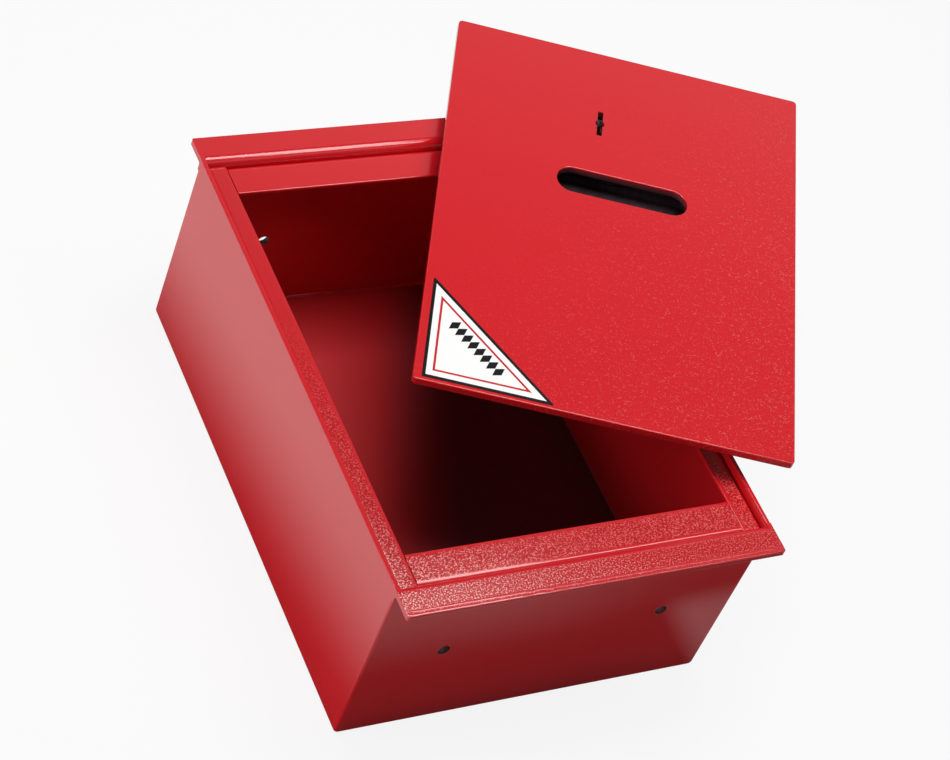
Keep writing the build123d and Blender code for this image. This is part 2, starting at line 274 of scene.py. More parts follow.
def boxShade(tree, place):
    x, y, z = addNode(tree, "SeparateXYZ", {0: place}).outputs
    beside = addNode(tree, "Math", {0: x}, operation="ABSOLUTE")
    endways = addNode(tree, "Math", {0: y}, operation="ABSOLUTE")
    low = addNode(tree, "Math", {
        0: z, 1: box["floorTop"] / 1000, 2: boxCoat["floorBand"]}, operation="COMPARE")
    for part, half in zip((beside, endways), boxCoat["floorHalf"]):
        within = addNode(tree, "Math", {0: part, 1: half}, operation="LESS_THAN")
        low = addNode(tree, "Math", {0: low, 1: within}, operation="MULTIPLY")
    line = addNode(tree, "Math", {0: y, 1: boxCoat["floorSlant"], 2: x}, operation="MULTIPLY_ADD")
    right = addNode(tree, "MapRange", {
        "Value": line, fromTo: boxCoat["floorShade"]}, interpolation_type="SMOOTHSTEP")
    paintedShade = addNode(tree, "Math", {0: low, 1: right}, operation="MULTIPLY")
    # painted shade in the bores of the fixing holes, at each hole's own end
    bores = 0.0
    for hole in fixingHoles.values():
        axis = (hole["spacing"] / 2000, hole["height"] / 1000)
        away = awayFrom(tree, (beside, z), axis)
        bore = addNode(tree, "MapRange", {"Value": away, fromTo: boxCoat["bore"]})
        outward = addNode(tree, "Math", {0: y, 1: float(hole["end"])}, operation="MULTIPLY")
        thisEnd = addNode(tree, "Math", {0: outward, 1: 0.0}, operation="GREATER_THAN")
        bore = addNode(tree, "Math", {0: bore, 1: thisEnd}, operation="MULTIPLY")
        bores = addNode(tree, "Math", {0: bores, 1: bore}, operation="MAXIMUM")
    matt = addNode(tree, "Math", {0: low, 1: boxCoat["floorMatt"]}, operation="MULTIPLY")
    return [addNode(tree, "Math", {0: part, 1: bores}, operation="MAXIMUM")
            for part in (paintedShade, matt)]


# The coat on the ledges, in metres: grain stops short of the bend at the inner edge and fades at
# the wall, and on the right-hand ledge it keeps to the front, out of the lid's shadow, so no
# painted glints show in that shade
ledgeCoat = {
    "fromBend": (0.0010, 0.0034, 0.0, 1.0),
    "toWall": (-0.0004, 0.0010, 0.0, 1.0),
    "rightLedge": (0.1096, 0.1099, 0.0, 1.0),
    "behindFront": (-0.13, -0.10, 0.0, 1.0),
    "sideMargin": 0.0001,
}


def ledgeGrain(tree, place):
    x, y = addNode(tree, "SeparateXYZ", {0: place}).outputs[:2]
    sideInner, endInner = box["sideLedgeInner"] / 1000, box["endLedgeInner"] / 1000
    sideWidth, endWidth = box["sideLedgeWidth"] / 1000, box["endLedgeWidth"] / 1000
    beside = addNode(tree, "Math", {0: x}, operation="ABSOLUTE")
    endways = addNode(tree, "Math", {0: y}, operation="ABSOLUTE")
    onSide = addNode(tree, "Math", {
        0: beside, 1: sideInner - ledgeCoat["sideMargin"]}, operation="GREATER_THAN")
    fromSide = addNode(tree, "Math", {0: beside, 1: sideInner}, operation="SUBTRACT")
    fromEnd = addNode(tree, "Math", {0: endways, 1: endInner}, operation="SUBTRACT")
    fromBend = addNode(tree, "Mix", {"Factor": onSide, 2: fromEnd, 3: fromSide}, data_type="FLOAT")
    width = addNode(tree, "Mix", {"Factor": onSide, 2: endWidth, 3: sideWidth}, data_type="FLOAT")
    toWall = addNode(tree, "Math", {0: width, 1: fromBend}, operation="SUBTRACT")
    flat = addNode(tree, "MapRange", {"Value": fromBend, fromTo: ledgeCoat["fromBend"]})
    inner = addNode(tree, "MapRange", {"Value": toWall, fromTo: ledgeCoat["toWall"]})
    share = addNode(tree, "Math", {0: inner, 1: flat}, operation="MULTIPLY")
    onRight = addNode(tree, "MapRange", {"Value": x, fromTo: ledgeCoat["rightLedge"]})
    behind = addNode(tree, "MapRange", {
        "Value": y, fromTo: ledgeCoat["behindFront"]}, interpolation_type="SMOOTHSTEP")
    smooth = addNode(tree, "Math", {0: onRight, 1: behind}, operation="MULTIPLY")
    grained = addNode(tree, "Math", {0: 1.0, 1: smooth}, operation="SUBTRACT")
    share = addNode(tree, "Math", {0: share, 1: grained}, operation="MULTIPLY")
    return forwardShares(tree, place, share)


# The coat on the lid. Grain is faint and patchy, and clearer towards the near right-hand corner,
# in metres; its tops carry painted glints. By height in mm, painted shade darkens the underside
# and the walls inside the slot and the keyhole; each outline is a centre, half a straight length
# and a radius in mm
lidCoat = {
    "nearRight": (0.55, -0.83, 0.0),
    "grain": (-0.07, 0.22, 0.01, 0.16),
    "patchMm": 2.8,
    "patch": (0.48, 0.66, 0.15, 1.0),
    "deep": (4.8, 1.2, 0.20, 0.95),
    "under": (0.3, 0.1, 0.0, 0.9),
    "slot": (lid["slotCentre"], (33.0, 0.0), 11.15),
    "keySlit": (lid["keyAxis"], (0.0, 9.6), 2.8),
    "keyRound": (lid["keyAxis"], (0.0, 0.0), 3.6),
}


def lidGrain(tree, place):
    nearRight = addNode(tree, "VectorMath", {
        0: place, 1: lidCoat["nearRight"]}, operation="DOT_PRODUCT")
    share = addNode(tree, "MapRange", {
        "Value": nearRight, fromTo: lidCoat["grain"]}, interpolation_type="SMOOTHSTEP")
    patch = addNode(tree, "TexNoise", {
        "Vector": place, "Scale": 1000 / lidCoat["patchMm"], "Detail": 0.0})
    patch = addNode(tree, "MapRange", {"Value": patch, fromTo: lidCoat["patch"]})
    share = addNode(tree, "Math", {0: share, 1: patch}, operation="MULTIPLY")
    return share, share


def lidShade(tree, place):
    across, along, up = lidAxes(tree, place)
    opening = 0.0
    for name in ("slot", "keySlit", "keyRound"):
        centre, half, radius = lidCoat[name]
        away = awayFrom(tree, (across, along), centre, half)
        within = addNode(tree, "Math", {0: away, 1: radius}, operation="LESS_THAN")
        opening = addNode(tree, "Math", {0: opening, 1: within}, operation="MAXIMUM")
    # painted shade down the walls of the slot and the keyhole
    deep = addNode(tree, "MapRange", {"Value": up, fromTo: lidCoat["deep"]})
    inside = addNode(tree, "Math", {0: opening, 1: deep}, operation="MULTIPLY")
    # painted shade on the underside
    under = addNode(tree, "MapRange", {"Value": up, fromTo: lidCoat["under"]})
    return addNode(tree, "Math", {0: inside, 1: under}, operation="MAXIMUM"), 0.0


# Beads and lips are all but smooth
def beadGrain(tree, place):
    return redCoat["beadGrain"], redCoat["beadGrain"]


def noShade(tree, place):
    return 0.0, 0.0


boxMaterial = redCoatMaterial("redPowderCoatBox", boxGrain, boxShade)
ledgeMaterial = redCoatMaterial("redPowderCoatLedges", ledgeGrain, noShade)
lidMaterial = redCoatMaterial("redPowderCoatLid", lidGrain, lidShade)
beadMaterial = redCoatMaterial("redPowderCoatBeads", beadGrain, noShade)
dress(boxMaterial, "body_shell", "front_end_panel", "rear_end_panel")
dress(ledgeMaterial, "ledge_left", "ledge_right", "ledge_front", "ledge_rear")
dress(lidMaterial, "lid_plate", "lid_tongue")

# Stoving enamel on the pressed pocket: a dull, dusty gloss; its very dark brown-red is painted
# shade for the deep pocket
pocketEnamel = {
    "body": "#33262B",
    "dust": "#463439",
    "ior": 1.2,
    "roughness": 0.52,
    "dustRoughness": 0.2,
    "dustMm": 6.0,
    "dusty": (0.4, 0.7, 0.0, 1.0),
    "orangePeelMm": 1.2,
    "orangePeelDepthMm": 0.1,
    "orangePeelStrength": 0.4,
}


def pocketMaterial():
    material, tree, place = newMaterial("pocketEnamelPaintedShade")
    dust = addNode(tree, "TexNoise", {
        "Vector": place, "Scale": 1000 / pocketEnamel["dustMm"], "Detail": 5.0, "Roughness": 0.65})
    peel = addNode(tree, "TexNoise", {
        "Vector": place, "Scale": 1000 / pocketEnamel["orangePeelMm"], "Detail": 1.0})
    tone = addNode(tree, "MapRange", {"Value": dust, fromTo: pocketEnamel["dusty"]})
    colour = addNode(tree, "Mix", {
        "Factor": tone, 6: linearColour(pocketEnamel["body"]),
        7: linearColour(pocketEnamel["dust"])}, data_type="RGBA")
    rough = addNode(tree, "Math", {
        0: dust, 1: pocketEnamel["dustRoughness"], 2: pocketEnamel["roughness"]},
        operation="MULTIPLY_ADD")
    bump = addNode(tree, "Bump", {
        "Height": peel, "Strength": pocketEnamel["orangePeelStrength"],
        "Distance": pocketEnamel["orangePeelDepthMm"] / 1000})
    shader = addNode(tree, "BsdfPrincipled", {
        "Base Color": colour, "Roughness": rough, "Normal": bump, "IOR": pocketEnamel["ior"]})
    addNode(tree, "OutputMaterial", {"Surface": shader})
    return material


dress(pocketMaterial(), "finger_pocket")

# Metals of the lock, each by its finish: zinc is a pale even grey, hardened steel nearly black and
# brass a soft yellow. Each has its body and stain, how much painted shade it shows by the keyhole,
# its roughness, and the spacing of its rolling lines and stains
metals = {
    "zincPlatedSteel": {
        "body": "#B9BBBD", "stain": "#8C8F93", "paintedKeyholeShade": 1.0, "roughness": 0.26,
        "lineMm": 0.30, "stainMm": 9.0},
    "hardenedBlackSteel": {
        "body": "#2A2829", "stain": "#181516", "paintedKeyholeShade": 1.0, "roughness": 0.38,
        "lineMm": 0.45, "stainMm": 12.0},
    "stampedBrass": {
        "body": "#CDA14F", "stain": "#94703A", "paintedKeyholeShade": 0.10, "roughness": 0.22,
        "lineMm": 0.25, "stainMm": 7.0},
}

# Rolled sheet: noise drawn out along the rolling direction gives fine lines, and a wide one stains
rolling = {
    "squeeze": 0.1,
    "stained": (0.42, 0.68, 0.0, 0.8),
    "lineRoughness": 0.16,
    "stainRoughness": 0.12,
    "lineDepthMm": 0.05,
    "lineStrength": 0.35,
}

# Painted shade darkens what shows through the keyhole, out to a few mm from the key's axis
keyway = {"paintedKeyholeShade": "#15110E", "fromMm": 5.0, "toMm": 12.0}


def metalMaterial(name):
    finish = metals[name]
    material, tree, place = newMaterial(name)
    across, along, up = lidAxes(tree, place)
    squeezed = addNode(tree, "Math", {0: along, 1: rolling["squeeze"]}, operation="MULTIPLY")
    rolled = addNode(tree, "CombineXYZ", {0: across, 1: squeezed, 2: up})
    lines = addNode(tree, "TexNoise", {
        "Vector": rolled, "Scale": 1 / finish["lineMm"], "Detail": 3.0})
    stain = addNode(tree, "TexNoise", {
        "Vector": rolled, "Scale": 1 / finish["stainMm"], "Detail": 4.0, "Roughness": 0.6})
    tone = addNode(tree, "MapRange", {"Value": stain, fromTo: rolling["stained"]})
    # painted shade round the key's axis
    away = awayFrom(tree, (across, along), lid["keyAxis"])
    paintedKeyholeShade = addNode(tree, "MapRange", {
        "Value": away, fromTo: (keyway["fromMm"], keyway["toMm"], finish["paintedKeyholeShade"], 0.0)})
    colour = linearColour(finish["body"])
    for amount, code in ((tone, finish["stain"]), (paintedKeyholeShade, keyway["paintedKeyholeShade"])):
        colour = addNode(tree, "Mix", {
            "Factor": amount, 6: colour, 7: linearColour(code)}, data_type="RGBA")
    rough = finish["roughness"]
    for amount, cause in ((lines, "line"), (tone, "stain")):
        rough = addNode(tree, "Math", {
            0: amount, 1: rolling[cause + "Roughness"], 2: rough}, operation="MULTIPLY_ADD")
    bump = addNode(tree, "Bump", {
        "Height": lines, "Strength": rolling["lineStrength"],
        "Distance": rolling["lineDepthMm"] / 1000})
    shader = addNode(tree, "BsdfPrincipled", {
        "Base Color": colour, "Metallic": 1.0, "Roughness": rough, "Normal": bump})
    addNode(tree, "OutputMaterial", {"Surface": shader})
    return material


dress(metalMaterial("zincPlatedSteel"),
      "lock_case", "lock_cover", "lock_screws", "lever_guide", "lock_bolt")
dress(metalMaterial("hardenedBlackSteel"), "hardplate")
dress(metalMaterial("stampedBrass"), "key_barrel", *[f"lever_{i}" for i in range(1, 7)])

# Screen-printed white vinyl: a glossy white with a black border, a thin red rule and a row of
# black lozenges; its faint fibre only dulls the gloss
label = {
    "white": "#FDFDFC",
    "fibre": "#F4F4F2",
    "black": "#050506",
    "red": "#C8242C",
    "ior": 1.3,
    "roughness": 0.26,
    "fibreRoughness": 0.10,
    "fibresPerMm": 1.4,
    "fibreDepthMm": 0.1,
    "fibreStrength": 0.15,
    "cornerMm": (-114.5, -160.7),
    "legMm": 82.5,
    "borderMm": 2.1,
    "ruleMm": (6.0, 7.5),
    "rowMm": 14.0,
    "pitchMm": 6.0,
    "pitchesEachWay": 4,
    "lozengeMm": 2.6,
    "lozengeSlopes": (0.9, 0.5),
}


# a and b are the distances from the two short sides, c from the long one; a lozenge is where
# 0.9 |step| + 0.5 |rise| < size
def labelMaterial():
    material, tree, place = newMaterial("printedVinyl")
    across, along = lidAxes(tree, place)[:2]
    root = math.sqrt(0.5)  # the long side lies at 45 degrees to the short ones
    a = addNode(tree, "Math", {0: across, 1: label["cornerMm"][0]}, operation="SUBTRACT")
    b = addNode(tree, "Math", {0: along, 1: label["cornerMm"][1]}, operation="SUBTRACT")
    both = addNode(tree, "Math", {0: a, 1: b}, operation="ADD")
    c = addNode(tree, "Math", {
        0: both, 1: -root, 2: label["legMm"] * root}, operation="MULTIPLY_ADD")
    shorter = addNode(tree, "Math", {0: a, 1: b}, operation="MINIMUM")
    nearest = addNode(tree, "Math", {0: shorter, 1: c}, operation="MINIMUM")
    isBorder = addNode(tree, "Math", {0: nearest, 1: label["borderMm"]}, operation="LESS_THAN")
    inner, outer = label["ruleMm"]
    isRule = addNode(tree, "Math", {
        0: nearest, 1: (inner + outer) / 2, 2: (outer - inner) / 2}, operation="COMPARE")
    apart = addNode(tree, "Math", {0: a, 1: b}, operation="SUBTRACT")
    run = addNode(tree, "Math", {0: apart, 1: root}, operation="MULTIPLY")
    step = addNode(tree, "Math", {0: run, 1: label["pitchMm"]}, operation="PINGPONG")
    step = addNode(tree, "Math", {0: step, 1: label["pitchMm"] / 2}, operation="SUBTRACT")
    step = addNode(tree, "Math", {0: step}, operation="ABSOLUTE")
    rise = addNode(tree, "Math", {0: c, 1: label["rowMm"]}, operation="SUBTRACT")
    rise = addNode(tree, "Math", {0: rise}, operation="ABSOLUTE")
    stepSlope, riseSlope = label["lozengeSlopes"]
    rise = addNode(tree, "Math", {0: rise, 1: riseSlope}, operation="MULTIPLY")
    reach = addNode(tree, "Math", {0: step, 1: stepSlope, 2: rise}, operation="MULTIPLY_ADD")
    isLozenge = addNode(tree, "Math", {0: reach, 1: label["lozengeMm"]}, operation="LESS_THAN")
    fromMiddle = addNode(tree, "Math", {0: run}, operation="ABSOLUTE")
    rowHalf = label["pitchMm"] * label["pitchesEachWay"]
    within = addNode(tree, "Math", {0: fromMiddle, 1: rowHalf}, operation="LESS_THAN")
    isLozenge = addNode(tree, "Math", {0: isLozenge, 1: within}, operation="MULTIPLY")
    fibre = addNode(tree, "TexNoise", {
        "Vector": place, "Scale": 1000 * label["fibresPerMm"], "Detail": 2.0})
    colour = linearColour(label["white"])
    inks = ((fibre, "fibre"), (isRule, "red"), (isLozenge, "black"), (isBorder, "black"))
    for share, ink in inks:
        colour = addNode(tree, "Mix", {
            "Factor": share, 6: colour, 7: linearColour(label[ink])}, data_type="RGBA")
    rough = addNode(tree, "Math", {
        0: fibre, 1: label["fibreRoughness"], 2: label["roughness"]}, operation="MULTIPLY_ADD")
    bump = addNode(tree, "Bump", {
        "Height": fibre, "Strength": label["fibreStrength"],
        "Distance": label["fibreDepthMm"] / 1000})
    shader = addNode(tree, "BsdfPrincipled", {
        "Base Color": colour, "Roughness": rough, "Normal": bump, "IOR": label["ior"]})
    addNode(tree, "OutputMaterial", {"Surface": shader})
    return material


dress(labelMaterial(), "corner_label")


# Joins point and face arrays in mm into one mesh piece in metres; doubles at the poles are merged
# and normals turned outward
def addPiece(name, parts, body, material):
    starts = np.cumsum([0] + [len(points) for points, faces in parts])
    points = np.concatenate([points for points, faces in parts]) / 1000
    faces = np.concatenate([faces + start for (points, faces), start in zip(parts, starts)])
    mesh = bpy.data.meshes.new(name)
    mesh.from_pydata(points.tolist(), [], faces.tolist())
    shell = bmesh.new()
    shell.from_mesh(mesh)
    bmesh.ops.remove_doubles(shell, verts=shell.verts, dist=1e-6)
    bmesh.ops.recalc_face_normals(shell, faces=shell.faces)
    shell.to_mesh(mesh)
    shell.free()
    mesh.polygons.foreach_set("use_smooth", np.ones(len(mesh.polygons), dtype=bool))
    mesh.materials.append(material)
    obj = bpy.data.objects.new(name, mesh)
    scene.collection.objects.link(obj)
    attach(obj, body)
    print("piece", name, "with", len(mesh.polygons), "faces")


# Point = place + size x (ring side x side axis + ring rise x rise axis), for every place on the
# path and every point of the ring
def sweep(place, side, rise, ring, size, closed=False):
    carried = ring[None, :, :1] * side[:, None] + ring[None, :, 1:] * rise[:, None]
    points = place[:, None] + size[:, None, None] * carried
    rows, count = len(place), len(ring)
    i, j = np.meshgrid(np.arange(rows if closed else rows - 1), np.arange(count), indexing="ij")
    ahead, beside = (i + 1) % rows, (j + 1) % count
    faces = [i * count + j, i * count + beside, ahead * count + beside, ahead * count + j]
    return points.reshape(-1, 3), np.stack(faces, -1).reshape(-1, 4)


# Ring: a flattened circle, its top at height above the face and its bottom at sink below it
def roundRing(count, halfWidth, height, sink):
    around = np.linspace(0, 2 * np.pi, count + 1)[:-1]
    lift = np.where(np.sin(around) > 0, height, sink) * np.sin(around)
    return np.stack([halfWidth * np.cos(around), lift], -1)


# A bead's size along its run: it rises from nothing over its first mm, as sqrt(1 - (1 - share)^2),
# ripples as it was laid, and ends the same way
def beadSize(run, rippleMm, rippleShare, endMm):
    inward = np.clip(np.minimum(run, run[-1] - run) / endMm, 0, 1)
    return np.sqrt(1 - (1 - inward) ** 2) * (1 + rippleShare * np.sin(2 * np.pi * run / rippleMm))


# Powder gathers at the flange's cut edge in a fat rounded rim, and in a lower one inside it
edgeRim = {
    "outer": {
        "insetMm": 1.25, "widthMm": 2.2, "heightMm": 0.34, "sinkMm": 0.80, "cornerMm": 1.6,
        "fromMm": 184.6},
    "inner": {
        "insetMm": 3.60, "widthMm": 1.9, "heightMm": 0.25, "sinkMm": 0.15, "cornerMm": 1.2,
        "fromMm": 182.8},
    "stepMm": 1.0,
    "turnPoints": 7,
    "ringPoints": 20,
    "rippleMm": 17.0,
    "rippleShare": 0.06,
    "endMm": 3.0,
    "waverMm": 1.9,
    "waverShare": 0.05,
}


# Path: out along one end of the flange, a quarter turn, along its free edge, a quarter turn and
# back; size: a bead's with a waver of sin(run / 1.9)
def flangeRim(end, which):
    rim = edgeRim[which]
    halfX = box["halfWidth"] - rim["insetMm"]
    tipY = box["flangeTip"] - rim["insetMm"]
    turn = rim["cornerMm"]
    outward = np.arange(rim["fromMm"], tipY - turn, edgeRim["stepMm"])
    angle = np.linspace(0, np.pi / 2, edgeRim["turnPoints"])
    sideways = np.arange(turn - halfX, halfX - turn, edgeRim["stepMm"])[1:]
    cornerX, cornerY = turn - halfX - turn * np.cos(angle), tipY - turn + turn * np.sin(angle)
    x = np.concatenate([np.full(len(outward), -halfX), cornerX, sideways])
    y = np.concatenate([outward, cornerY, np.full(len(sideways), tipY)])
    sideX = np.concatenate([np.full(len(outward), -1.0), -np.cos(angle), np.zeros(len(sideways))])
    sideY = np.concatenate([np.zeros(len(outward)), np.sin(angle), np.ones(len(sideways))])
    back = slice(len(outward) + len(angle) - 1, None, -1)
    x, y = np.concatenate([x, -x[back]]), np.concatenate([y, y[back]])
    sideX = np.concatenate([sideX, -sideX[back]])
    sideY = np.concatenate([sideY, sideY[back]])
    place = np.stack([x, y * end, np.full(len(x), box["rim"])], -1)
    side = np.stack([sideX, sideY * end, np.zeros(len(x))], -1)
    rise = np.tile((0.0, 0.0, 1.0), (len(x), 1))
    ring = roundRing(edgeRim["ringPoints"], rim["widthMm"] / 2, rim["heightMm"], rim["sinkMm"])
    run = np.concatenate([[0], np.cumsum(np.linalg.norm(np.diff(place, axis=0), axis=1))])
    size = beadSize(run, edgeRim["rippleMm"], edgeRim["rippleShare"], edgeRim["endMm"])
    size *= 1 + edgeRim["waverShare"] * np.sin(run / edgeRim["waverMm"])
    return sweep(place, side, rise, ring, size)


frontEnd = fixingHoles["front"]["end"]
frontRims = [flangeRim(frontEnd, "outer"), flangeRim(frontEnd, "inner")]
addPiece("front_flange_rims", frontRims, "safe_box", beadMaterial)

# Round each fixing hole the coat stands up as a thin lip, on both faces of the end panel
holeLip = {
    "radiusMm": 4.45,
    "halfWidthMm": 0.45,
    "heightMm": 0.22,
    "sinkMm": 0.1,
    "waverShare": 0.10,
    "pathPoints": 48,
    "ringPoints": 10,
}


# Path: a circle round the hole; ring: a flattened circle standing off the face
def holeLips(hole):
    end = hole["end"]
    angle = np.linspace(0, 2 * np.pi, holeLip["pathPoints"] + 1)[:-1]
    side = np.stack([np.cos(angle), np.zeros(len(angle)), np.sin(angle)], -1)
    ring = roundRing(
        holeLip["ringPoints"], holeLip["halfWidthMm"], holeLip["heightMm"], holeLip["sinkMm"])
    lips = []
    for holeX in (-hole["spacing"] / 2, hole["spacing"] / 2):
        size = 1 + holeLip["waverShare"] * np.sin(2 * angle + holeX)
        for faceY, off in ((box["endOuter"], end), (box["endInner"], -end)):
            place = side * holeLip["radiusMm"] + (holeX, faceY * end, hole["height"])
            rise = np.tile((0.0, float(off), 0.0), (len(angle), 1))
            lips.append(sweep(place, side, rise, ring, size, closed=True))
    return lips


frontLips, rearLips = holeLips(fixingHoles["front"]), holeLips(fixingHoles["rear"])
addPiece("front_hole_lips", frontLips, "safe_box", beadMaterial)
addPiece("rear_hole_lips", rearLips, "safe_box", beadMaterial)

# Fillet welds under the coat: a rounded fillet with the small ripples of a hand-fed wire
weld = {
    "legMm": 2.0,
    "sinkMm": 0.3,
    "curvePower": 1.3,
    "curvePoints": 7,
    "rippleMm": 1.9,
    "rippleShare": 0.09,
    "endMm": 1.2,
    "stepMm": 0.65,
    "cornerGapMm": 1.0,
    "stitchMm": 26.0,
    "sideStitches": (-124.0, -62.0, 0.0, 62.0, 124.0),
    "endStitches": (-70.0, 0.0, 70.0),
}


# Ring: legs along the two faces, joined by the curve side = leg cos^1.3, rise = leg sin^1.3
def filletRing(leg):
    sink = weld["sinkMm"]
    angle = np.linspace(0, np.pi / 2, weld["curvePoints"])
    curve = np.stack([np.cos(angle), np.sin(angle)], -1) ** weld["curvePower"] * leg
    curve[np.abs(curve) < 1e-9] = 0
    return np.concatenate([[(-sink, -sink), (leg, -sink)], curve, [(-sink, leg)]])


# Path: a straight run between two points; side and rise point away from the two faces
def straightWeld(start, end, side, rise, leg=weld["legMm"]):
    start, end = np.array(start, float), np.array(end, float)
    length = np.linalg.norm(end - start)
    run = np.linspace(0, length, max(int(length / weld["stepMm"]), 4))
    place = start + (end - start) * (run / length)[:, None]
    side, rise = [np.tile(np.array(axis, float), (len(run), 1)) for axis in (side, rise)]
    size = beadSize(run, weld["rippleMm"], weld["rippleShare"], weld["endMm"])
    return sweep(place, side, rise, filletRing(leg), size)


# Inside the box: the floor's two end joints, the four upright corners, and stitches under the
# side ledges and the end ledges
def boxWelds():
    floorZ, footZ = box["floorTop"], box["ledgeFoot"]
    gap, half = weld["cornerGapMm"], weld["stitchMm"] / 2
    up, down = (0, 0, 1), (0, 0, -1)
    runs = []
    for endSign in (-1, 1):
        x, y = box["sideInner"] - gap, box["endInner"] * endSign
        runs.append(straightWeld((-x, y, floorZ), (x, y, floorZ), (0, -endSign, 0), up))
        for sideSign in (-1, 1):
            x = box["sideInner"] * sideSign
            runs.append(straightWeld(
                (x, y, floorZ + gap), (x, y, footZ), (-sideSign, 0, 0), (0, -endSign, 0)))
    for middle in weld["sideStitches"]:
        for sign in (-1, 1):
            x = box["sideInner"] * sign
            runs.append(straightWeld(
                (x, middle - half, footZ), (x, middle + half, footZ), (-sign, 0, 0), down))
    for middle in weld["endStitches"]:
        for sign in (-1, 1):
            y = box["endInner"] * sign
            runs.append(straightWeld(
                (middle - half, y, footZ), (middle + half, y, footZ), (0, -sign, 0), down))
    return runs


addPiece("box_welds", boxWelds(), "safe_box", beadMaterial)


# The lid's own mm to the row frame's mm
def fromLid(points):
    axes = np.array([lid["across"], lid["along"], lid["up"]])
    return points @ axes + np.array(lid["middle"]) * 1000


# Under the lid: a bead all round the pocket, and short runs along the tongue's inner edge and
# beside it where it lies against the lid, in the lid's own mm
pocketWeld = {"halfMm": (52.0, 20.0), "cornerMm": 10.0, "turnPoints": 25, "legMm": 1.8}
tongueWeld = {
    "edgeHalfMm": 27.0,
    "edgeAlongMm": -121.5,
    "sideMm": 30.0,
    "sideAlongMm": (-137.0, -123.0),
    "legMm": 1.8,
}


# Path: the pocket's rounded outline, four quarter turns joined by straight runs, closed on itself;
# size = 1 + share x sin(2 pi run / ripple)
def pocketWeldRun():
    halfA, halfB = pocketWeld["halfMm"]
    turn = pocketWeld["cornerMm"]
    angle = np.linspace(0, np.pi / 2, pocketWeld["turnPoints"])
    quarters = []
    for index, (signA, signB) in enumerate(((1, 1), (-1, 1), (-1, -1), (1, -1))):
        heading = angle + index * np.pi / 2
        side = np.stack([np.cos(heading), np.sin(heading), np.zeros(len(angle))], -1)
        centre = np.array([signA * (halfA - turn), signB * (halfB - turn), 0.0])
        quarters.append((centre + turn * side, side))
    corners = np.concatenate([place for place, side in quarters])
    sides = np.concatenate([side for place, side in quarters])
    nextCorners, nextSides = np.roll(corners, -1, 0), np.roll(sides, -1, 0)
    gaps = np.linalg.norm(nextCorners - corners, axis=1)
    counts = np.maximum((gaps / weld["stepMm"]).round().astype(int), 1)
    first = np.repeat(np.arange(len(corners)), counts)
    done = np.repeat(np.cumsum(counts) - counts, counts)
    share = ((np.arange(len(first)) - done) / counts[first])[:, None]
    place = corners[first] + (nextCorners - corners)[first] * share + (*lid["slotCentre"], 0.0)
    side = sides[first] + (nextSides - sides)[first] * share
    side /= np.linalg.norm(side, axis=1)[:, None]
    rise = np.tile((0.0, 0.0, -1.0), (len(place), 1))
    run = np.arange(len(place)) * weld["stepMm"]
    size = 1 + weld["rippleShare"] * np.sin(2 * np.pi * run / weld["rippleMm"])
    points, faces = sweep(place, side, rise, filletRing(pocketWeld["legMm"]), size, closed=True)
    return fromLid(points), faces


# Path: one straight run across the lid and two along it, turned from its own axes
def tongueWeldRuns():
    half, y, leg = tongueWeld["edgeHalfMm"], tongueWeld["edgeAlongMm"], tongueWeld["legMm"]
    runs = [straightWeld((-half, y, 0), (half, y, 0), (0, 1, 0), (0, 0, -1), leg)]
    start, end = tongueWeld["sideAlongMm"]
    for sign in (-1, 1):
        x = tongueWeld["sideMm"] * sign
        runs.append(straightWeld((x, start, 0), (x, end, 0), (sign, 0, 0), (0, 0, -1), leg))
    return [(fromLid(points), faces) for points, faces in runs]


lidWelds = [pocketWeldRun(), *tongueWeldRuns()]
addPiece("lid_welds", lidWelds, "lid", beadMaterial)

# Studio: a white sweep. The camera sees it white; to gloss it shows a painted shadow, darker at
# the safe's foot, and a painted lighter patch. Levels are 0 to 1 and places are metres on the
# floor; for the ceiling and the horizon they are how high a ray points
studio = {
    "floorHalf": 6.0,
    "floor": "#E8E8E8",
    "seenWhite": 0.88,  # how much of the floor is plain white to the camera
    "slant": 0.09,
    "leftFrom": 0.125,
    "rightFrom": 0.22,
    "rearFrom": 0.17,
    "outer": (0.0, 0.075, 0.05, 0.95),
    "front": (-0.20, -0.25, 0.05, 0.38),
    "frontFall": (0.0, 0.18, 1.0, 0.25),
    "corner": (0.115, 0.150, 0.0, 0.42),
    "cornerNear": (-0.206, -0.230, 1.0, 0.0),
    "fill": 0.04,  # the world's level on matt surfaces
    "ceiling": (0.60, 0.74, 0.80, 0.20),
    "horizon": (0.35, 0.56, 0.12, 1.0),
}
